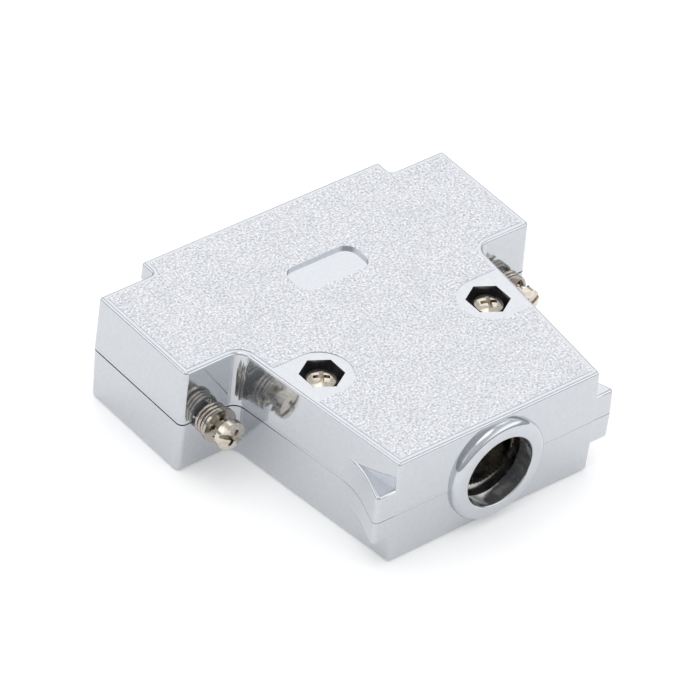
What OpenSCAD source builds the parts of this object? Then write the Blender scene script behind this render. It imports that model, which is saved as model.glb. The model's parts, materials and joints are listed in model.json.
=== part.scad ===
// Metal-finished hood for a 25-way D-sub connector: two identical interlocking case
// halves, two captive sprung jackscrews, a two-saddle cable clamp and their fasteners.
// Frame: X across the wings, +Y towards the mating face, Z up. The origin is at the
// bottom centre of the whole part. A case half is drawn above its parting plane, z = 0.

/* [Case] */
// Height of the closed case over its smooth rims
case_h = 15.7; // [15:0.1:17]
// Width across the two wings
wing_w = 55; // [54.8:0.2:58]
// Depth of the wings, notch face to front face
wing_d = 17.9; // [17:0.1:20]
// Width of the narrow body at its rear face
rear_w = 32; // [31:0.5:34]
// Width of the narrow body where it meets the wings
notch_w = 38; // [37:0.5:39]
// Depth of the narrow body, rear face to notch face
body_d = 27.1; // [26:0.1:32]
// Width of the two lips in front of the wings
lip_w = 38.1; // [36:0.1:39]
// How far the lips stand in front of the wings
lip_d = 2.6; // [2:0.1:3]
// Thickness of a lip
lip_t = 2.35; // [2:0.05:2.6]
// Thickness of the walls
wall = 1.5; // [1.4:0.05:1.6]
// Inward slope of each side wall over one half
draft = 0.21; // [0.1:0.01:0.3]
// Radius of the rounding along the top edges
rim_r = 0.4; // [0.3:0.05:0.5]
// Height of the grained panel above the smooth rim
panel_rise = 0.08; // [0.04:0.02:0.12]
// Distance from the outline of the case to the grained panel
panel_inset = 0.95; // [0.8:0.05:1.2]

/* [Finger grips] */
// Length of each flared grip along the side
flare_l = 9.2; // [8.6:0.1:10]
// Angle at which a grip leaves the length of the body
flare_angle = 20; // [16:1:22]
// Radius of the hollow in the flank of a grip
flare_r = 12; // [10:1:14]
// Half the height of a grip
flare_half_h = 3.8; // [3.4:0.1:4.4]

/* [Cable entry] */
// Radius of the cable hole
cable_r = 5.07; // [4.8:0.01:5.2]
// Outer radius of the collar around the hole
collar_r = 7.25; // [7:0.05:7.4]
// How far the collar stands behind the rear face
collar_proud = 1.0; // [0.8:0.1:1.2]

/* [Jackscrews] */
// Distance between the two jackscrews
jack_pitch = 47.04; // [47:0.02:47.1]
// Major radius of the jackscrew thread
jack_thread_r = 1.42; // [1.3:0.01:1.5]
// Radius of the plain shank of a jackscrew
jack_shank_r = 1.2; // [1.15:0.05:1.25]
// Radius of the head of a jackscrew
jack_head_r = 2.0; // [1.9:0.05:2.1]
// How far the jackscrew tips stand in front of the wings
jack_reach = 3.0; // [2.8:0.1:3.6]
// Length that a jackscrew can be pushed in against its spring
jack_travel = 0.8; // [0.6:0.05:0.9]
// Radius of the retaining rings
ring_r = 2.45; // [2.3:0.05:2.5]
// Thickness of the retaining rings
ring_t = 0.4; // [0.35:0.05:0.45]
// Outer radius of the springs
spring_r = 2.25; // [2.2:0.05:2.3]
// Diameter of the spring wire
spring_wire = 0.5; // [0.36:0.02:0.5]

/* [Case and clamp screws] */
// Radius of the shanks
screw_r = 1.15; // [1.1:0.05:1.2]
// Radius of the heads
screw_head_r = 1.85; // [1.75:0.05:1.95]
// Width across the flats of the nuts
nut_af = 4.5; // [4.4:0.05:4.5]
// Thickness of the nuts
nut_t = 1.6; // [1.4:0.1:1.6]

/* [Cable clamp] */
// Length of a saddle, across the cable
saddle_l = 21; // [21:0.5:22]
// Width of a saddle, along the cable
saddle_w = 4.4; // [4.4:0.1:5]
// Thickness of the saddle sheet
saddle_t = 0.6; // [0.5:0.05:0.65]
// Radius of the toothed arc in each saddle flange
saddle_arc_r = 5.6; // [5.3:0.1:6]
// Distance between the two clamp screws
clamp_pitch = 15.6; // [15.2:0.1:15.8]

/* [Hidden] */

plating = [0.80, 0.81, 0.83];
nickel = [0.85, 0.82, 0.76];
eps = 0.02;
arc_steps = 5;                  // facets in each rounded corner of an outline
$fn = 64;

// Places along Y, from the whole length
total_l = collar_proud + body_d + wing_d + jack_reach;
rear_y = collar_proud - total_l / 2;
notch_y = rear_y + body_d;
wing_y = notch_y + wing_d;
lip_y = wing_y + lip_d;
tip_y = total_l / 2;

// Places along Z
half_h = case_h / 2;
mid_z = panel_rise + half_h;
ceiling_z = half_h - wall;      // above the parting plane

// Interlocking edge: the left wall of each half reaches past the parting plane
lock_h = 0.18;                  // how far it reaches
lock_t = 0.55;                  // how thick it is
wing_gap = 0.22;                // open joint seen at the wings
body_gap = 0.03;                // closed joint along the body
gap_taper_l = 12;               // length over which the one becomes the other

// Connector seat
flange_hw = 26.55;              // half width of the slot for the flange of the connector
flange_hh = 6.3;                // half height of that slot
flange_slot = 1.35;             // length of that slot along Y
front_wall = 1.35;
mouth_hw = 20;
mouth_hh = half_h - lip_t;
cavity_hw = 20.4;               // half width of the space behind the flange
bay_x = [cavity_hw - 0.1, 26.3];
bay_hh = 4.6;                   // half height of the bays round the inner rings
rib = 1.2;
slot_y = wing_y - front_wall - flange_slot;

// Case screws, their hexagonal pockets and the smooth pads around them
boss_x = 13.15;
boss_y = rear_y + 18.55;
boss_r = 3.3;
pocket_af = 5.0;
pocket_depth = 2.0;
screw_hole_r = screw_r + 0.25;
right_screw_play = 0.2;         // the right screw sits off the centre of its pocket
pad_r = 4.0;
head_rim_h = 1.15;
head_dome_h = 0.4;

// Badge recess, left bare
badge_l = 10.8;
badge_w = 5.0;
badge_r = 1.7;
badge_depth = 0.35;
badge_y = rear_y + 34;

// Jackscrew stations along Y, counted from the notch face towards the head
jack_x = jack_pitch / 2;
jack_hole_r = jack_shank_r + 0.08;
front_hole_r = jack_thread_r + 0.33;
groove_r = 1.0;
outer_ring_off = 1.5 + jack_travel;
outer_ring_y = notch_y - outer_ring_off - ring_t;
inner_ring_y = notch_y + wall + 0.1;
head_off = outer_ring_off + ring_t + 1.48;
jack_head_rim_h = 0.85;
jack_head_dome_h = 0.4;
thread_l = jack_reach - 0.3;    // it starts just in front of the wings
tip_chamfer = 0.4;
spring_turns = 3;

// Cable clamp stations, heights from the parting plane
saddle_y = rear_y + 2.2;
saddle_base_z = ceiling_z - head_rim_h - head_dome_h - 0.14 - saddle_t;
saddle_floor_z = saddle_base_z - 0.4;
saddle_gap = 0.35;
tooth_pitch = 5.5;              // degrees between teeth
tooth_depth = 0.22;
clamp_rib_x = [6.8, 10.8];

function unit(v) = v / norm(v);

// The arc of radius r that rounds the corner b between a and c
function corner_arc(a, b, c, r) =
    let (
        u = unit(a - b),
        v = unit(c - b),
        half = acos(u * v) / 2,
        turn = 180 - 2 * half,
        centre = b + unit(u + v) * r / sin(half),
        d0 = b + u * r / tan(half) - centre,
        d1 = b + v * r / tan(half) - centre
    )
    [for (k = [0:arc_steps])
        let (f = k / arc_steps)
        centre + (d0 * sin((1 - f) * turn) + d1 * sin(f * turn)) / sin(turn)];

// A closed outline with every corner rounded; rows are [x, y, radius]
function rounded(rows) =
    let (n = len(rows), p = [for (q = rows) [q[0], q[1]]])
    [for (i = [0:n - 1]) each corner_arc(p[(i + n - 1) % n], p[i], p[(i + 1) % n], rows[i][2])];

// Half width of the tapered body at y, and the angle of its side
function body_hw(y) = (rear_w + (notch_w - rear_w) * (y - rear_y) / body_d) / 2;
side_angle = atan((notch_w - rear_w) / 2 / body_d);

// Right-hand corners of the case outline, moved inwards by i
function convex(r, i) = max(r - i, 0.06);
function hollow_corner(r, i) = max(r + i, 0.06);
function right_corners(i) = [
    [body_hw(rear_y + i) - i, rear_y + i, convex(0.5, i)],
    [body_hw(notch_y + i) - i, notch_y + i, hollow_corner(1.6, i)],
    [wing_w / 2 - i, notch_y + i, convex(0.85, i)],
    [wing_w / 2 - i, wing_y - i, convex(0.6, i)],
    [lip_w / 2 - i, wing_y - i, hollow_corner(0.5, i)],
    [lip_w / 2 - i, lip_y - i, convex(0.6, i)]
];
function mirrored(rows) = [for (k = [len(rows) - 1:-1:0]) [-rows[k][0], rows[k][1], rows[k][2]]];
function case_outline(i) = rounded(concat(right_corners(i), mirrored(right_corners(i))));

// Levels [z, inset] from z0 up to z1, with a sloped side and a rounded rim
function rim_levels(z0, z1, slope, r) = concat(
    [[z0, 0]],
    [for (a = [0:30:90]) [z1 - r + r * sin(a), slope * (z1 - r - z0) / (z1 - z0) + r * (1 - cos(a))]]
);

// A solid whose rings are equally long outlines, one for each height. The caps are given
// as polygons of ring indices, each one visible as a whole from its first corner.
module loft(rings, zs, caps) {
    n = len(rings[0]);
    m = len(rings);
    points = [for (k = [0:m - 1]) for (p = rings[k]) [p[0], p[1], zs[k]]];
    lids = [for (c = caps) concat([c[0]], [for (k = [len(c) - 1:-1:1]) c[k]])];
    top = [for (c = lids) [for (i = c) (m - 1) * n + i]];
    sides = [for (k = [0:m - 2]) for (i = [0:n - 1])
        let (j = (i + 1) % n, a = k * n)
        each [[a + i, a + n + j, a + j], [a + i, a + n + i, a + n + j]]];
    polyhedron(points, concat(caps, top, sides), convexity = 8);
}

// Caps of the case outline: rungs across the body, one polygon over the wings, more rungs
function rungs(from, to, n) = [for (i = [from:to]) [i, i + 1, n - 2 - i, n - 1 - i]];
function case_caps() =
    let (
        s = arc_steps + 1,
        n = 12 * s,
        right = [for (i = [2 * s - 1:4 * s]) i],
        wings = concat(right, [for (k = [len(right) - 1:-1:0]) n - 1 - right[k]]),
        turned = [for (k = [0:len(wings) - 1]) wings[(k + 3) % len(wings)]]
    )
    concat(rungs(0, 2 * s - 2, n), [turned], rungs(4 * s, 6 * s - 2, n));

// Lays the Z axis of a shape along +Y
module along_y() { rotate([-90, 0, 0]) children(); }

// A box given by its limits
module block(x0, x1, y0, y1, z0, z1) {
    translate([x0, y0, z0]) cube([x1 - x0, y1 - y0, z1 - z0]);
}

// ---------------------------------------------------------------- case half

module case_skin() {
    levels = rim_levels(0, half_h, draft, rim_r);
    loft([for (l = levels) case_outline(l[1])], [for (l = levels) l[0]], case_caps());
}

// Right-hand grip: a straight flank with a rounded tip, then a hollow tangent to the side
function flare_outline(i) =
    let (
        y0 = rear_y + flare_l,
        x0 = body_hw(y0),
        arc_y = y0 - flare_r * (sin(flare_angle) + sin(side_angle)),
        arc_x = x0 + flare_r * (cos(side_angle) - cos(flare_angle)),
        tip_y = rear_y + 0.05 + i,
        shift = i / cos(flare_angle),
        tip_x = arc_x - shift + (arc_y - tip_y) * tan(flare_angle),
        root = [rear_w / 2 - 0.45, tip_y]
    )
    concat(
        [root],
        corner_arc(root, [tip_x, tip_y], [arc_x - shift, arc_y], convex(0.6, i)),
        [for (k = [8:-1:1])
            let (a = -side_angle + (flare_angle + side_angle) * k / 8)
            [x0 + flare_r * (cos(side_angle) - cos(a)) - i,
             y0 - flare_r * (sin(a) + sin(side_angle))]],
        [[x0 - 0.47, y0]]
    );

module flare(z0) {
    levels = rim_levels(z0, flare_half_h, draft / 2, 0.45);
    rings = [for (l = levels) flare_outline(l[1])];
    loft(rings, [for (l = levels) l[0]], [[for (i = [0:len(rings[0]) - 1]) i]]);
}

// Collar around the cable hole: a rounded outer shoulder and a nearly flat face
module collar() {
    shoulder_r = collar_proud - 0.05;
    lead_r = 0.25;
    profile = concat(
        [[cable_r - 0.5, wall], [collar_r, wall]],
        [for (a = [0:15:90])
            [collar_r - shoulder_r * (1 - cos(a)), -0.05 - shoulder_r * sin(a)]],
        [for (a = [90:-30:0])
            [cable_r + lead_r * (1 - cos(a)), lead_r * (1 - sin(a)) - collar_proud]],
        [[cable_r - 0.5, lead_r - collar_proud]]
    );
    intersection() {
        translate([0, rear_y, 0]) along_y() rotate_extrude() polygon(profile);
        block(-collar_r - 1, collar_r + 1, rear_y - 2, rear_y + wall, 0, collar_r + 1);
    }
}

// The outer skin of the walls between two insets, for the interlocking edge
module wall_strip(inset, t, z0, z1) {
    translate([0, 0, z0]) linear_extrude(z1 - z0) difference() {
        polygon(case_outline(inset));
        polygon(case_outline(inset + t));
        translate([-collar_r - 0.4, rear_y - 2]) square([2 * collar_r + 0.8, 6]);
        translate([-mouth_hw - 0.5, wing_y - 3]) square([2 * mouth_hw + 1, 9]);
    }
}

// Step cut out of the right wall: wide open at the wings, closed along the body
module lock_step() {
    far = rear_y - 2;
    near = lip_y + 2;
    steps = [[far, -1], [near, -1], [near, lock_h + wing_gap], [notch_y, lock_h + wing_gap],
        [notch_y - gap_taper_l, lock_h + body_gap], [far, lock_h + body_gap]];
    intersection() {
        wall_strip(-1, lock_t + 1.05, -1, 2);
        rotate([90, 0, 90]) linear_extrude(wing_w) polygon(steps);
    }
}

module lock_edge() {
    intersection() {
        wall_strip(0, lock_t - 0.05, -lock_h, 0.3);
        block(-wing_w, -1, rear_y - 1, lip_y + 1, -1, 1);
    }
}

// Space for the wiring, the connector seat and the two bays of the jackscrews
module hollow() {
    back = rear_y + wall;
    front = notch_y + wall;
    translate([0, 0, -1]) linear_extrude(ceiling_z + 1) polygon([
        [body_hw(back) - wall, back], [body_hw(front) - wall, front],
        [cavity_hw, front], [cavity_hw, slot_y + eps],
        [-cavity_hw, slot_y + eps], [-cavity_hw, front],
        [wall - body_hw(front), front], [wall - body_hw(back), back]
    ]);
    block(-flange_hw, flange_hw, slot_y, slot_y + flange_slot, -1, flange_hh);
    block(-mouth_hw, mouth_hw, slot_y, lip_y + 1, -1, mouth_hh);
    for (s = [0, 1]) mirror([s, 0, 0]) block(bay_x[0], bay_x[1], front, slot_y - rib, -1, bay_hh);
}

// Screw pillars and the ribs that hold the clamp; they fill space inside the hollow
module inner_ribs() {
    clamp_end = saddle_y + saddle_w;
    for (s = [0, 1]) mirror([s, 0, 0]) {
        translate([boss_x, boss_y, 0]) cylinder(r = boss_r, h = half_h - 1);
        block(clamp_rib_x[0], clamp_rib_x[1], clamp_end + 0.1, clamp_end + 1.1, 0, ceiling_z + eps);
        block(clamp_rib_x[0], clamp_rib_x[1], rear_y + wall - eps, saddle_y - 0.1, 0, ceiling_z + eps);
        block(saddle_l / 2 + 0.15, saddle_l / 2 + 0.85, rear_y + wall - eps, clamp_end + 1.1,
            0, ceiling_z + eps);
    }
}

module grained_panel() {
    translate([0, 0, half_h - eps]) linear_extrude(panel_rise + eps) difference() {
        polygon(case_outline(panel_inset));
        for (s = [0, 1]) mirror([s, 0]) {
            translate([boss_x, boss_y]) circle(pad_r);
            translate([boss_x, boss_y - pad_r]) square([9, 2 * pad_r]);
        }
    }
}

module badge_recess() {
    x = badge_l / 2;
    y = badge_w / 2;
    translate([0, badge_y, half_h - badge_depth]) linear_extrude(2)
        polygon(rounded([[-x, -y, badge_r], [x, -y, badge_r], [x, y, badge_r], [-x, y, badge_r]]));
}

module screw_holes() {
    for (s = [-1, 1]) {
        translate([s * boss_x, boss_y, -1]) cylinder(r = screw_hole_r, h = case_h);
        translate([s * boss_x, boss_y, half_h - pocket_depth]) rotate(30)
            cylinder(r = pocket_af / sqrt(3), h = 4, $fn = 6);
        translate([s * jack_x, notch_y - 1, 0]) along_y() cylinder(r = jack_hole_r, h = wall + 2);
        translate([s * jack_x, slot_y - rib - 1, 0]) along_y() cylinder(r = front_hole_r, h = 8);
    }
}

module case_half() {
    difference() {
        union() {
            union() {
                difference() {
                    case_skin();
                    hollow();
                    lock_step();
                }
                flare(lock_h + body_gap + eps);
            }
            mirror([1, 0, 0]) flare(eps - lock_h);
            lock_edge();
            inner_ribs();
            collar();
            grained_panel();
        }
        badge_recess();
        screw_holes();
        translate([0, rear_y - 2, 0]) along_y() cylinder(r = cable_r, h = wall + 3);
    }
}

module upper_case() {
    color(plating) translate([0, 0, mid_z]) case_half();
}

module lower_case() {
    color(plating) translate([0, 0, mid_z]) rotate([0, 180, 0]) case_half();
}

// ---------------------------------------------------------------- fasteners

// Cross recess of a driver: tapering wings sunk from z = 0
module cross_recess(span, width, depth) {
    for (a = [0, 90]) rotate(a) rotate([90, 0, 0]) translate([0, 0, -width / 2])
        linear_extrude(width) polygon([[-span / 2, 0.3], [span / 2, 0.3], [span / 2, 0],
            [span / 4, -depth], [-span / 4, -depth], [-span / 2, 0]]);
}

// Pan head with its underside at z = 0
module pan_head(r, rim_h, dome_h) {
    dome_r = (r * r + dome_h * dome_h) / (2 * dome_h);
    cylinder(r = r, h = rim_h);
    intersection() {
        translate([0, 0, rim_h + dome_h - dome_r]) sphere(r = dome_r);
        translate([0, 0, rim_h - eps]) cylinder(r = r, h = dome_h + 1);
    }
}

// Small pan-head screw hanging down from z = 0, its seat
module small_screw(length, turn) {
    difference() {
        union() {
            pan_head(screw_head_r, head_rim_h, head_dome_h);
            translate([0, 0, -length]) cylinder(r = screw_r, h = length + eps);
        }
        translate([0, 0, head_rim_h + head_dome_h]) rotate(turn) cross_recess(2.3, 0.55, 0.95);
    }
}

// Hexagonal nut standing on z = 0
module hex_nut(turn) {
    difference() {
        rotate(turn) cylinder(r = nut_af / sqrt(3), h = nut_t, $fn = 6);
        translate([0, 0, -1]) cylinder(r = screw_r + 0.02, h = nut_t + 2);
    }
}

module case_screw(x, turn) {
    seat_z = mid_z + half_h - pocket_depth;
    length = case_h - 2 * pocket_depth + nut_t;
    color(nickel) translate([x, boss_y, seat_z]) small_screw(length, turn);
}

module case_nut(x) {
    color(nickel) translate([x, boss_y, mid_z - half_h + pocket_depth - nut_t]) hex_nut(30);
}

module case_screw_left() { case_screw(-boss_x, -33); }
module case_screw_right() { case_screw(boss_x + right_screw_play, -24); }
module case_nut_left() { case_nut(-boss_x); }
module case_nut_right() { case_nut(boss_x + right_screw_play); }

// Turned jackscrew along +Y: slotted and crossed head, plain shank with two grooves, thread
module jackscrew(x, turn) {
    head_y = notch_y - head_off;
    length = tip_y - head_y;
    color(nickel) translate([x, head_y, mid_z]) along_y() difference() {
        union() {
            rotate([180, 0, 0]) pan_head(jack_head_r, jack_head_rim_h, jack_head_dome_h);
            cylinder(r = jack_shank_r, h = length - thread_l + eps);
            translate([0, 0, length - thread_l])
                cylinder(r = jack_thread_r, h = thread_l - tip_chamfer);
            translate([0, 0, length - tip_chamfer])
                cylinder(r1 = jack_thread_r, r2 = jack_thread_r - tip_chamfer, h = tip_chamfer);
        }
        for (y = [outer_ring_y, inner_ring_y]) translate([0, 0, y - head_y]) difference() {
            translate([0, 0, -0.03]) cylinder(r = jack_shank_r + 1, h = ring_t + 0.06);
            translate([0, 0, -1]) cylinder(r = groove_r, h = ring_t + 2);
        }
        rotate([180, 0, 0]) translate([0, 0, jack_head_rim_h + jack_head_dome_h]) rotate(turn) {
            cross_recess(2.5, 0.55, 1.0);
            translate([-3, -0.33, -0.62]) cube([6, 0.66, 2]);
        }
    }
}

module jackscrew_left() { jackscrew(-jack_x, -28); }
module jackscrew_right() { jackscrew(jack_x, 20); }

// Retaining ring: three prongs grip the groove, and the mouth lets it be pushed on
module retaining_ring(x, y, mouth) {
    prong_w = 1.1;
    color(nickel) translate([x, y, mid_z]) along_y() rotate(mouth) linear_extrude(ring_t)
        difference() {
            circle(ring_r);
            difference() {
                union() {
                    circle(1.62);
                    translate([0, -1.35]) square([ring_r + 1, 2.7]);
                }
                for (a = [-100, 100, 180]) rotate(a)
                    translate([0.5, -prong_w / 2]) square([1.4, prong_w]);
            }
            circle(groove_r + 0.04);
        }
}

module outer_ring_left() { retaining_ring(-jack_x, outer_ring_y, 55); }
module outer_ring_right() { retaining_ring(jack_x, outer_ring_y, -36); }
module inner_ring_left() { retaining_ring(-jack_x, inner_ring_y, 90); }
module inner_ring_right() { retaining_ring(jack_x, inner_ring_y, 90); }

// Compression spring between a notch face and an outer ring, a swept round wire
module spring(x) {
    sides = 8;
    per_turn = 20;
    rings = spring_turns * per_turn;
    wire_r = spring_wire / 2;
    path_r = spring_r - wire_r;
    rise = outer_ring_off - spring_wire - 0.06;
    slope = rise / (2 * PI * path_r * spring_turns);
    points = [for (k = [0:rings]) let (a = 360 * k / per_turn, y = rise * k / rings)
        for (j = [0:sides - 1])
            let (b = 360 * j / sides, w = path_r + wire_r * cos(b), t = wire_r * sin(b))
            [w * cos(a) + t * slope * sin(a), w * sin(a) - t * slope * cos(a), y + t]];
    flanks = [for (k = [0:rings - 1]) for (j = [0:sides - 1])
        let (i = (j + 1) % sides, a = k * sides)
        each [[a + j, a + i, a + sides + i], [a + j, a + sides + i, a + sides + j]]];
    ends = [[for (j = [sides - 1:-1:0]) j], [for (j = [0:sides - 1]) rings * sides + j]];
    color(nickel) translate([x, notch_y - outer_ring_off + wire_r + 0.03, mid_z]) along_y()
        polyhedron(points, concat(flanks, ends), convexity = 10);
}

module spring_left() { spring(-jack_x); }
module spring_right() { spring(jack_x); }

// ---------------------------------------------------------------- cable clamp

// Flange of a saddle in the X-Z plane: shoulders up to the gap, a toothed arc between
module saddle_flange() {
    rotate([90, 0, 0]) translate([0, 0, -saddle_t]) linear_extrude(saddle_t) difference() {
        translate([-saddle_l / 2, -saddle_base_z - saddle_t])
            square([saddle_l, saddle_base_z + saddle_t - saddle_gap]);
        translate([0, saddle_arc_r - saddle_floor_z]) {
            circle(saddle_arc_r);
            for (k = [-11:11]) rotate(270 + k * tooth_pitch)
                translate([saddle_arc_r, 0]) rotate(45) square(tooth_depth * sqrt(2), center = true);
        }
    }
}

// Channel-section saddle below the cable
module saddle() {
    difference() {
        union() {
            translate([0, saddle_y, 0]) saddle_flange();
            translate([0, saddle_y + saddle_w - saddle_t, 0]) saddle_flange();
            block(-saddle_l / 2, saddle_l / 2, saddle_y, saddle_y + saddle_w,
                -saddle_base_z - saddle_t, -saddle_base_z);
        }
        for (s = [-1, 1])
            translate([s * clamp_pitch / 2, saddle_y + saddle_w / 2, -saddle_base_z - 2])
                cylinder(r = screw_r + 0.15, h = 4);
    }
}

module lower_saddle() { color(nickel) translate([0, 0, mid_z]) saddle(); }
module upper_saddle() { color(nickel) translate([0, 0, mid_z]) mirror([0, 0, 1]) saddle(); }

module clamp_screw(x) {
    seat_z = mid_z + saddle_base_z + saddle_t;
    length = 2 * (saddle_base_z + saddle_t) + nut_t;
    color(nickel) translate([x, saddle_y + saddle_w / 2, seat_z]) small_screw(length, 15);
}

module clamp_nut(x) {
    color(nickel)
        translate([x, saddle_y + saddle_w / 2, mid_z - saddle_base_z - saddle_t - nut_t]) hex_nut(0);
}

module clamp_screw_left() { clamp_screw(-clamp_pitch / 2); }
module clamp_screw_right() { clamp_screw(clamp_pitch / 2); }
module clamp_nut_left() { clamp_nut(-clamp_pitch / 2); }
module clamp_nut_right() { clamp_nut(clamp_pitch / 2); }

upper_case();
lower_case();
case_screw_left();
case_screw_right();
case_nut_left();
case_nut_right();
jackscrew_left();
jackscrew_right();
outer_ring_left();
outer_ring_right();
inner_ring_left();
inner_ring_right();
spring_left();
spring_right();
lower_saddle();
upper_saddle();
clamp_screw_left();
clamp_screw_right();
clamp_nut_left();
clamp_nut_right();
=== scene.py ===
# %% [markdown]
# A metal-finished hood for a D-sub connector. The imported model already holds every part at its
# true size, so this file only dresses it: smoother shading, plated metal finishes, real screw
# threads, springs, a pale floor, soft light and a camera.

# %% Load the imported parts
import json
import math

import bmesh
import bpy
from mathutils import Matrix, Vector


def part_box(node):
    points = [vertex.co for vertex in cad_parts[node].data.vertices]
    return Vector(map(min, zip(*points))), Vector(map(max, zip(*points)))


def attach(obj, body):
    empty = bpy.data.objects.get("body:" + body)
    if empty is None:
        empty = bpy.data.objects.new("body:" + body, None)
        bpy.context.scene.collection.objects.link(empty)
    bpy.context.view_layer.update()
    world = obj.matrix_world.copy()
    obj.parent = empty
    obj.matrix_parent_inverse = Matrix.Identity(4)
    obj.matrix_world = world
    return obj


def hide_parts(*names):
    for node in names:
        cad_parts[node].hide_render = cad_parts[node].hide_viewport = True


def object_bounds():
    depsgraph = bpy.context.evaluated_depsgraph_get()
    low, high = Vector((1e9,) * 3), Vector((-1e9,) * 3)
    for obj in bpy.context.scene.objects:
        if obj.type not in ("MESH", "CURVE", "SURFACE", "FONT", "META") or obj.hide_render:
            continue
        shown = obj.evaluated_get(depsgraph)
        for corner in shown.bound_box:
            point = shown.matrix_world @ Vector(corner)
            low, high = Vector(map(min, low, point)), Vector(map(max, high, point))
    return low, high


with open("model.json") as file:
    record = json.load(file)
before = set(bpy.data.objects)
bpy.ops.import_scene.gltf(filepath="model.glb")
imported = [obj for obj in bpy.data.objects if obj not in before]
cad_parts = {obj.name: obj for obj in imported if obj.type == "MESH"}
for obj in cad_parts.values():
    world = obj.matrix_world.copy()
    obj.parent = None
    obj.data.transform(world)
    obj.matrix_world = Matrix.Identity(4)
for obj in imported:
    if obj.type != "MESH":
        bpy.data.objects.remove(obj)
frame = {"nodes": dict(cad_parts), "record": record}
cad_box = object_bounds()
MM = 0.001

# %% [markdown]
# Every finish here is a metal coat: bright nickel on the moulded case, a warmer nickel on the
# turned screws, brushed nickel on the stamped saddles. A real coat is never one flat value: its
# gloss wanders, and a moulded face is slightly wavy. One helper mixes both from noise read in
# Object coordinates, so nothing slides when a part moves. Images would need unwrapping, so noise
# is the simpler and sharper way.

# %% A helper for plated metal
def new_material(name):
    material = bpy.data.materials.new(name)
    material.use_nodes = True
    nodes = material.node_tree.nodes
    nodes.clear()
    return material, nodes, material.node_tree.links


def noise(nodes, links, source, scale, detail, stretch=(1, 1, 1)):
    """Noise of the given scale per metre, read in Object coordinates."""
    mapping = nodes.new("ShaderNodeMapping")
    mapping.inputs["Scale"].default_value = stretch
    texture = nodes.new("ShaderNodeTexNoise")
    texture.inputs["Scale"].default_value = scale
    texture.inputs["Detail"].default_value = detail
    links.new(source, mapping.inputs["Vector"])
    links.new(mapping.outputs[0], texture.inputs["Vector"])
    return texture.outputs["Fac"]


def spread(nodes, links, source, low, high, given=(0.3, 0.7)):
    """Maps the given range, which is the middle of a noise if none is named, to low and high."""
    ranged = nodes.new("ShaderNodeMapRange")
    ranged.inputs["From Min"].default_value = given[0]
    ranged.inputs["From Max"].default_value = given[1]
    ranged.inputs["To Min"].default_value = low
    ranged.inputs["To Max"].default_value = high
    links.new(source, ranged.inputs["Value"])
    return ranged.outputs[0]


def plated_metal(name, metal, dark, light, gloss, wave_mm, wave_depth, fine_mm, fine_depth,
                 stretch=(1, 1, 1)):
    """Metal between two colours and two roughnesses, with a broad wave and a fine texture.

    Each texture has a size and a depth in millimetres, and stretch draws the fine one out.
    """
    material, nodes, links = new_material(name)
    coords = nodes.new("ShaderNodeTexCoord").outputs["Object"]
    shader = nodes.new("ShaderNodeBsdfPrincipled")
    shader.inputs["Metallic"].default_value = metal
    wave = noise(nodes, links, coords, 1000 / wave_mm, 2)
    fine = noise(nodes, links, coords, 1000 / fine_mm, 3, stretch)
    tint = nodes.new("ShaderNodeMix")
    tint.data_type = "RGBA"
    tint.inputs["A"].default_value = (*dark, 1)
    tint.inputs["B"].default_value = (*light, 1)
    links.new(spread(nodes, links, fine, 0, 1), tint.inputs["Factor"])
    links.new(tint.outputs["Result"], shader.inputs["Base Color"])
    links.new(spread(nodes, links, wave, *gloss), shader.inputs["Roughness"])
    normal = None
    for height, depth in ((wave, wave_depth), (fine, fine_depth)):
        bump = nodes.new("ShaderNodeBump")
        bump.inputs["Strength"].default_value = 1.0
        bump.inputs["Distance"].default_value = depth * MM
        links.new(height, bump.inputs["Height"])
        if normal:
            links.new(normal, bump.inputs["Normal"])
        normal = bump.outputs["Normal"]
    links.new(normal, shader.inputs["Normal"])
    output = nodes.new("ShaderNodeOutputMaterial")
    links.new(shader.outputs[0], output.inputs["Surface"])
    return material


# %% [markdown]
# The case is moulded, then plated. Its rims and sides are nearly mirrors. The raised panels on top
# and bottom carry a leather-like grain of about 0.3 mm, which breaks the mirror into bright and
# grey flecks. That grain is far too fine for mesh, so it is bump, and painted shade darkens its
# valleys.

# %% The finishes
case_smooth = plated_metal("case_smooth", 0.86, (0.55, 0.57, 0.60), (0.585, 0.605, 0.63),
                           (0.06, 0.11), 7, 0.022, 0.5, 0.0006)
# Painted shade: a near-black coat that stands in for the shade on the walls of the deep screw
# pockets.
case_deep = plated_metal("case_deep", 0.86, (0.10, 0.10, 0.11), (0.17, 0.17, 0.18),
                         (0.18, 0.28), 7, 0.02, 0.5, 0.0006)
# The grain is real; its darker colour in the valleys is painted shade.
case_grain = plated_metal("case_grain", 0.86, (0.38, 0.395, 0.425), (0.76, 0.77, 0.79),
                          (0.20, 0.30), 3, 0.02, 0.30, 0.075)
turned_nickel = plated_metal("turned_nickel", 1.0, (0.50, 0.45, 0.38), (0.72, 0.67, 0.59),
                             (0.10, 0.20), 1.5, 0.004, 0.15, 0.002, (0.3, 1, 0.3))
stamped_nickel = plated_metal("stamped_nickel", 1.0, (0.52, 0.49, 0.44), (0.72, 0.69, 0.63),
                              (0.20, 0.32), 2, 0.006, 0.12, 0.003, (0.1, 1, 1))
spring_steel = plated_metal("spring_steel", 1.0, (0.30, 0.27, 0.24), (0.56, 0.52, 0.47),
                            (0.12, 0.22), 1, 0.003, 0.1, 0.002)
FINISH = {"plated_case": case_smooth, "turned_nickel": turned_nickel,
          "stamped_nickel": stamped_nickel, "spring_steel": spring_steel}
print("finishes", len(FINISH) + 1)

# %% [markdown]
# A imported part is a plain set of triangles. Each one is copied, its doubled corners are merged,
# edges sharper than an angle are kept crisp, and the other faces share normals weighted by their
# area, so that small roundings look round and large faces stay flat. Remeshing could do that too,
# but it would soften the true edges.

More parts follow.
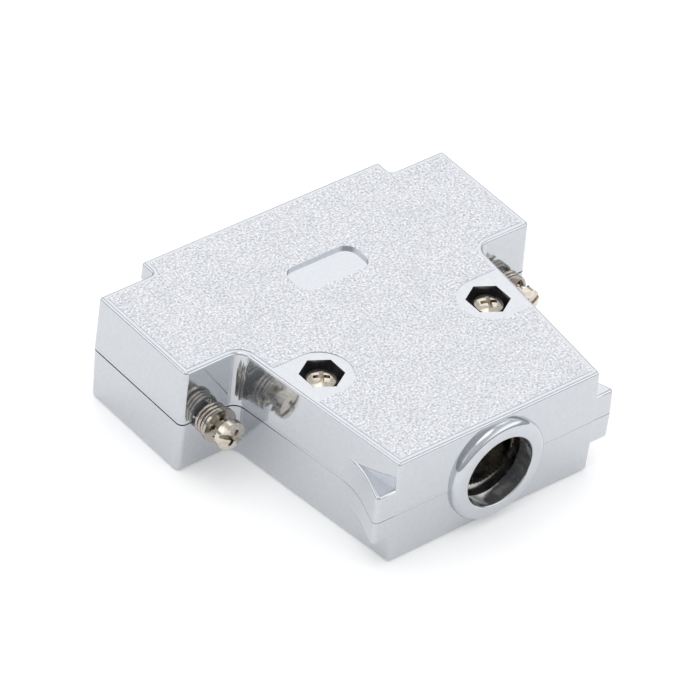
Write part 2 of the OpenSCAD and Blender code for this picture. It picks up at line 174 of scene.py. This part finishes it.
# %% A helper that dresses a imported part
SHARP = math.radians(34)
DOUBLES = 0.002 * MM
SLIVER = 0.0001 * MM
SLOT_OF = {row["node"]: row["material_slot"] for row in frame["record"]["subparts"]}
BODY_OF = {node: body for body, nodes in frame["record"]["behaviour"]["bodies"].items()
           for node in nodes}


def smooth_copy(node, change=None):
    """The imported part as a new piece, with smooth faces, crisp edges and its own finish."""
    mesh = frame["nodes"][node].data.copy()
    shape = bmesh.new()
    shape.from_mesh(mesh)
    bmesh.ops.remove_doubles(shape, verts=shape.verts, dist=DOUBLES)
    bmesh.ops.dissolve_degenerate(shape, edges=shape.edges, dist=SLIVER)
    if change:
        change(shape)
    for face in shape.faces:
        face.smooth = True
        face.material_index = 0
    for edge in shape.edges:
        edge.smooth = len(edge.link_faces) == 2 and edge.calc_face_angle(0) < SHARP
    shape.to_mesh(mesh)
    shape.free()
    mesh.materials.clear()
    mesh.materials.append(FINISH[SLOT_OF[node]])
    piece = bpy.data.objects.new("dressed_" + node, mesh)
    bpy.context.scene.collection.objects.link(piece)
    return piece


def weigh_normals(piece):
    """Bakes area-weighted normals into the piece's mesh."""
    modifier = piece.modifiers.new("weigh", "WEIGHTED_NORMAL")
    modifier.keep_sharp = True
    piece.data = plain_mesh(piece)
    piece.modifiers.clear()


def plain_mesh(piece):
    """The piece's mesh with its modifiers worked in."""
    bpy.context.view_layer.update()
    graph = bpy.context.evaluated_depsgraph_get()
    return bpy.data.meshes.new_from_object(piece.evaluated_get(graph), preserve_all_data_layers=True,
                                           depsgraph=graph)


def stand_for(piece, node, replaces=True):
    """Ties the piece to the node's body, and by default puts it in the node's place."""
    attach(piece, BODY_OF[node])
    if replaces:
        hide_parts(node)


# %% [markdown]
# The two case halves are one moulding used twice. Only the outermost flat faces, which are the
# raised panels, take the grained finish. The rims, pads and sides stay smooth. The walls of the
# deep screw pockets get painted shade: a near-black coat stands in for the shade that falls there.

# %% The case halves
FLUSH = 0.005 * MM
POCKET_RADIUS = 3.4 * MM
POCKET_TOP = 0.4 * MM
low, high = cad_box
pockets = [(Vector(a) + Vector(b)) / 2 for a, b in
           (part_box(n) for n in SLOT_OF if n.startswith("case_screw"))]
for node in ("upper_case", "lower_case"):
    case = smooth_copy(node)
    case.data.materials.append(case_grain)
    case.data.materials.append(case_deep)
    level = high[2] if node == "upper_case" else low[2]
    for face in case.data.polygons:
        depth = abs(face.center.z - level)
        near = min((face.center - p).xy.length for p in pockets)
        if depth < FLUSH:
            face.material_index = 1
        # Faces deep in a screw pocket take the painted pocket shade.
        elif depth > POCKET_TOP and near < POCKET_RADIUS:
            face.material_index = 2
    used = [face.material_index for face in case.data.polygons]
    weigh_normals(case)
    stand_for(case, node)
    print(node, len(used), "faces,", used.count(1), "grained,", used.count(2), "in pockets")

# %% [markdown]
# The screws, nuts, retaining rings and stamped saddles already have their recesses, slots and teeth
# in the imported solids, so they need only clean shading and their own metal.

# %% Fasteners and saddles
PLAIN = [n for n in SLOT_OF if not n.endswith("_case") and not n.startswith(("spring", "jackscrew"))]
for node in PLAIN:
    piece = smooth_copy(node)
    weigh_normals(piece)
    stand_for(piece, node)
print("dressed", len(PLAIN), "small parts")

# %% [markdown]
# A spring is a wire swept along a helix, and a screw thread is a sharp ridge swept the same way.
# One Geometry Nodes tree makes both: a spiral curve, a small profile with as many sides as asked,
# and Curve to Mesh. The curve's normals follow its axis, so the ridge's crest always points out.

# %% The tree that sweeps a helix
AXIS_TO_Y = Matrix.Rotation(-math.pi / 2, 4, "X")


def helix_tree(material):
    tree = bpy.data.node_groups.new("helix_" + material.name, "GeometryNodeTree")
    face = tree.interface
    for label, kind in (("Turns", "Float"), ("Path radius", "Float"), ("Length", "Float"),
                        ("Section radius", "Float"), ("Section sides", "Int")):
        face.new_socket(label, in_out="INPUT", socket_type="NodeSocket" + kind)
    face.new_socket("Geometry", in_out="OUTPUT", socket_type="NodeSocketGeometry")
    nodes, links = tree.nodes, tree.links
    given = nodes.new("NodeGroupInput")
    spiral = nodes.new("GeometryNodeCurveSpiral")
    spiral.inputs["Resolution"].default_value = 48
    links.new(given.outputs["Turns"], spiral.inputs["Rotations"])
    links.new(given.outputs["Path radius"], spiral.inputs["Start Radius"])
    links.new(given.outputs["Path radius"], spiral.inputs["End Radius"])
    links.new(given.outputs["Length"], spiral.inputs["Height"])
    upright = nodes.new("GeometryNodeSetCurveNormal")
    upright.mode = "Z_UP"
    section = nodes.new("GeometryNodeCurvePrimitiveCircle")
    links.new(given.outputs["Section sides"], section.inputs["Resolution"])
    links.new(given.outputs["Section radius"], section.inputs["Radius"])
    sweep = nodes.new("GeometryNodeCurveToMesh")
    sweep.inputs["Fill Caps"].default_value = True
    realize = nodes.new("GeometryNodeRealizeInstances")
    paint = nodes.new("GeometryNodeSetMaterial")
    paint.inputs["Material"].default_value = material
    done = nodes.new("NodeGroupOutput")
    links.new(spiral.outputs["Curve"], upright.inputs["Curve"])
    links.new(upright.outputs["Curve"], sweep.inputs["Curve"])
    links.new(section.outputs["Curve"], sweep.inputs["Profile Curve"])
    links.new(sweep.outputs["Mesh"], realize.inputs["Geometry"])
    links.new(realize.outputs["Geometry"], paint.inputs["Geometry"])
    links.new(paint.outputs["Geometry"], done.inputs["Geometry"])
    return tree


def helix(name, tree, place, smooth, **sizes):
    """A helix along +Y that starts at place, as a plain mesh."""
    piece = bpy.data.objects.new(name, bpy.data.meshes.new(name))
    bpy.context.scene.collection.objects.link(piece)
    modifier = piece.modifiers.new("helix", "NODES")
    modifier.node_group = tree
    for socket in tree.interface.items_tree:
        label = socket.name.replace(" ", "_").lower()
        if label in sizes:
            modifier[socket.identifier] = sizes[label]
    piece.data = plain_mesh(piece)
    piece.modifiers.clear()
    piece.data.transform(Matrix.Translation(place) @ AXIS_TO_Y)
    for face in piece.data.polygons:
        face.use_smooth = smooth
    return piece


# %% [markdown]
# Each spring sits between the case's notch face and its outer ring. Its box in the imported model
# gives its place, length and outer radius.

# %% The springs
WIRE = 0.25 * MM
SPRING_TURNS = 3.0
spring_tree = helix_tree(spring_steel)
for node in ("spring_left", "spring_right"):
    start, end = (Vector(p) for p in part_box(node))
    middle = (start + end) / 2
    spring = helix("wound_" + node, spring_tree, Vector((middle.x, start.y + WIRE, middle.z)), True,
                   turns=SPRING_TURNS, path_radius=(end.x - start.x) / 2 - WIRE,
                   length=end.y - start.y - 2 * WIRE, section_radius=WIRE, section_sides=14)
    stand_for(spring, node)
    print(node, [round(v / MM, 2) for v in spring.dimensions])

# %% [markdown]
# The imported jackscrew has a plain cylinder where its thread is. In the copy, that stretch shrinks
# to the thread's core, and a ridge of the true 0.635 mm pitch is wound round it, with its crest at
# the cylinder's old radius.

# %% The jackscrews and their threads
THREAD_RADIUS = 1.42 * MM
CORE_RADIUS = 1.13 * MM
RIDGE = 0.3 * MM
PITCH = 0.635 * MM
THREAD_LENGTH = 2.7 * MM
TIP_CHAMFER = 0.4 * MM
NEAR = 0.01 * MM


def thread_core(centre, thread_start):
    """A change to the mesh that draws the thread's stretch in to its core."""
    def shrink(shape):
        for vert in shape.verts:
            off = Vector((vert.co.x - centre.x, vert.co.z - centre.z))
            if vert.co.y > thread_start - NEAR and off.length > THREAD_RADIUS - NEAR:
                off *= CORE_RADIUS / off.length
                vert.co.x, vert.co.z = centre.x + off.x, centre.z + off.y
    return shrink


ridge_tree = helix_tree(turned_nickel)
for node in ("jackscrew_left", "jackscrew_right"):
    start, end = (Vector(p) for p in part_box(node))
    centre = (start + end) / 2
    thread_start = end.y - THREAD_LENGTH
    screw = smooth_copy(node, thread_core(centre, thread_start))
    weigh_normals(screw)
    stand_for(screw, node)
    length = THREAD_LENGTH - RIDGE * 2 - TIP_CHAMFER
    ridge = helix("thread_" + node, ridge_tree, Vector((centre.x, thread_start + RIDGE, centre.z)),
                  False, turns=length / PITCH, path_radius=THREAD_RADIUS - RIDGE, length=length,
                  section_radius=RIDGE, section_sides=4)
    stand_for(ridge, node, replaces=False)
    print(node, "thread turns", round(length / PITCH, 1))

# %% [markdown]
# The stage is a wide pale floor. Metal needs something to mirror, so for the camera and for
# reflections the floor adds a white of its own to what the lamps give it, and the lit part keeps
# the soft shadow.

# %% The floor
FLOOR_REACH = 3.0
FLOOR_GREY = 0.85
FLOOR_GLOW = 0.20


def reckon(nodes, links, operation, *terms):
    """One step of arithmetic on sockets and plain numbers."""
    step = nodes.new("ShaderNodeMath")
    step.operation = operation
    for socket, term in zip(step.inputs, terms):
        if isinstance(term, (int, float)):
            socket.default_value = term
        else:
            links.new(term, socket)
    return step.outputs[0]


floor_material, nodes, links = new_material("pale_floor")
path = nodes.new("ShaderNodeLightPath").outputs
seen = reckon(nodes, links, "MAXIMUM", path["Is Camera Ray"], path["Is Glossy Ray"])
seen = reckon(nodes, links, "MAXIMUM", seen, path["Is Transmission Ray"])
matt = nodes.new("ShaderNodeBsdfDiffuse")
matt.inputs["Color"].default_value = (FLOOR_GREY, FLOOR_GREY, FLOOR_GREY, 1)
glow = nodes.new("ShaderNodeEmission")
links.new(reckon(nodes, links, "MULTIPLY", seen, FLOOR_GLOW), glow.inputs["Strength"])
summed = nodes.new("ShaderNodeAddShader")
links.new(matt.outputs[0], summed.inputs[0])
links.new(glow.outputs[0], summed.inputs[1])
links.new(summed.outputs[0], nodes.new("ShaderNodeOutputMaterial").inputs["Surface"])
floor_mesh = bpy.data.meshes.new("floor")
corners = [(x * FLOOR_REACH, y * FLOOR_REACH, 0) for x, y in ((-1, -1), (1, -1), (1, 1), (-1, 1))]
floor_mesh.from_pydata(corners, [], [(0, 1, 2, 3)])
floor_mesh.materials.append(floor_material)
floor = bpy.data.objects.new("floor", floor_mesh)
bpy.context.scene.collection.objects.link(floor)

# %% [markdown]
# The light is a soft studio: a large panel behind the object makes the grained top bright, and one
# overhead models the roundings. The world is darker near the horizon, so that rounded metal has
# something grey to mirror. Two bright banks stand left and right of the view, for reflections only
# and well above the horizon: the rims of the case mirror them as thin bright lines, and the top,
# seen from low down, doesn't.

# %% Light and world
LAMP_AIM = Vector((0, 0, 8)) * MM
HORIZON = (0.40, 0.41, 0.43, 1)
MIDDLE_SKY = (0.70, 0.70, 0.71, 1)
ZENITH = (0.80, 0.80, 0.80, 1)
LIGHTING_SKY = 1.45
MIRRORED_SKY = 0.95
ACROSS_THE_VIEW = (-0.73, 0.68, 0)
BANK_EDGE = (0.50, 0.80)
BANK_FOOT = (0.28, 0.36)
BANK_GLOW = 1.4


def panel_light(name, place, size, power):
    lamp = bpy.data.lights.new(name, "AREA")
    lamp.shape = "SQUARE"
    lamp.size = size
    lamp.energy = power
    light = bpy.data.objects.new(name, lamp)
    light.location = place
    aim = LAMP_AIM - Vector(place)
    light.rotation_euler = aim.to_track_quat("-Z", "Y").to_euler()
    bpy.context.scene.collection.objects.link(light)


panel_light("back_panel", (0.36, 0.39, 0.46), 0.50, 0.60)
panel_light("top_panel", (-0.10, 0.05, 0.60), 0.40, 0.55)
world = bpy.data.worlds.new("studio")
bpy.context.scene.world = world
world.use_nodes = True
nodes, links = world.node_tree.nodes, world.node_tree.links
nodes.clear()
path = nodes.new("ShaderNodeLightPath").outputs
direction = nodes.new("ShaderNodeTexCoord").outputs["Generated"]
parts = nodes.new("ShaderNodeSeparateXYZ")
links.new(direction, parts.inputs[0])
ramp = nodes.new("ShaderNodeValToRGB")
stops = ramp.color_ramp.elements
stops[0].position, stops[0].color = 0.0, HORIZON
stops[1].position, stops[1].color = 1.0, ZENITH
stops.new(0.55).color = MIDDLE_SKY
links.new(parts.outputs["Z"], ramp.inputs["Fac"])
sky = nodes.new("ShaderNodeBackground")
links.new(ramp.outputs["Color"], sky.inputs["Color"])
links.new(spread(nodes, links, path["Is Glossy Ray"], LIGHTING_SKY, MIRRORED_SKY, (0, 1)),
          sky.inputs["Strength"])
across = nodes.new("ShaderNodeVectorMath")
across.operation = "DOT_PRODUCT"
across.inputs[1].default_value = ACROSS_THE_VIEW
links.new(direction, across.inputs[0])
aside = reckon(nodes, links, "ABSOLUTE", across.outputs["Value"])
bank = spread(nodes, links, aside, 0, BANK_GLOW, BANK_EDGE)
foot = spread(nodes, links, parts.outputs["Z"], 0, 1, BANK_FOOT)
raised = reckon(nodes, links, "MULTIPLY", bank, foot)
banks = nodes.new("ShaderNodeBackground")
links.new(reckon(nodes, links, "MULTIPLY", raised, path["Is Glossy Ray"]), banks.inputs["Strength"])
with_banks = nodes.new("ShaderNodeAddShader")
links.new(sky.outputs[0], with_banks.inputs[0])
links.new(banks.outputs[0], with_banks.inputs[1])
white = nodes.new("ShaderNodeBackground")
white.inputs["Color"].default_value = (1, 1, 1, 1)
both = nodes.new("ShaderNodeMixShader")
links.new(path["Is Camera Ray"], both.inputs[0])
links.new(with_banks.outputs[0], both.inputs[1])
links.new(white.outputs[0], both.inputs[2])
links.new(both.outputs[0], nodes.new("ShaderNodeOutputWorld").inputs["Surface"])

# %% [markdown]
# The camera looks down on the cable end from the left, through a long lens, so that the sides stay
# nearly parallel. Its distances are in millimetres.

# %% Camera
DISTANCE = 695.2
SHIFT_RIGHT = -16.99
SHIFT_UP = 20.34
TARGET = Vector((0, -23.5, 0.07))
LENS = 292.4
AZIMUTH, ELEVATION, ROLL = (math.radians(v) for v in (-42.82, 39.64, 6.55))
back = Vector((math.sin(AZIMUTH) * math.cos(ELEVATION), -math.cos(AZIMUTH) * math.cos(ELEVATION),
               math.sin(ELEVATION)))
right = Vector((math.cos(AZIMUTH), math.sin(AZIMUTH), 0))
up = back.cross(right)
turned_right = math.cos(ROLL) * right + math.sin(ROLL) * up
turned_up = -math.sin(ROLL) * right + math.cos(ROLL) * up
place = (SHIFT_RIGHT * turned_right + SHIFT_UP * turned_up + DISTANCE * back + TARGET) * MM
camera_data = bpy.data.cameras.new("camera")
camera_data.lens = LENS
camera_data.sensor_width = 36
camera_data.clip_start = 0.05
camera = bpy.data.objects.new("camera", camera_data)
pose = Matrix((turned_right, turned_up, back)).transposed().to_4x4()
camera.matrix_world = Matrix.Translation(place) @ pose
bpy.context.scene.collection.objects.link(camera)
bpy.context.scene.camera = camera
view = bpy.context.scene.view_settings
view.view_transform = "Standard"
print("camera at", [round(v, 4) for v in place])
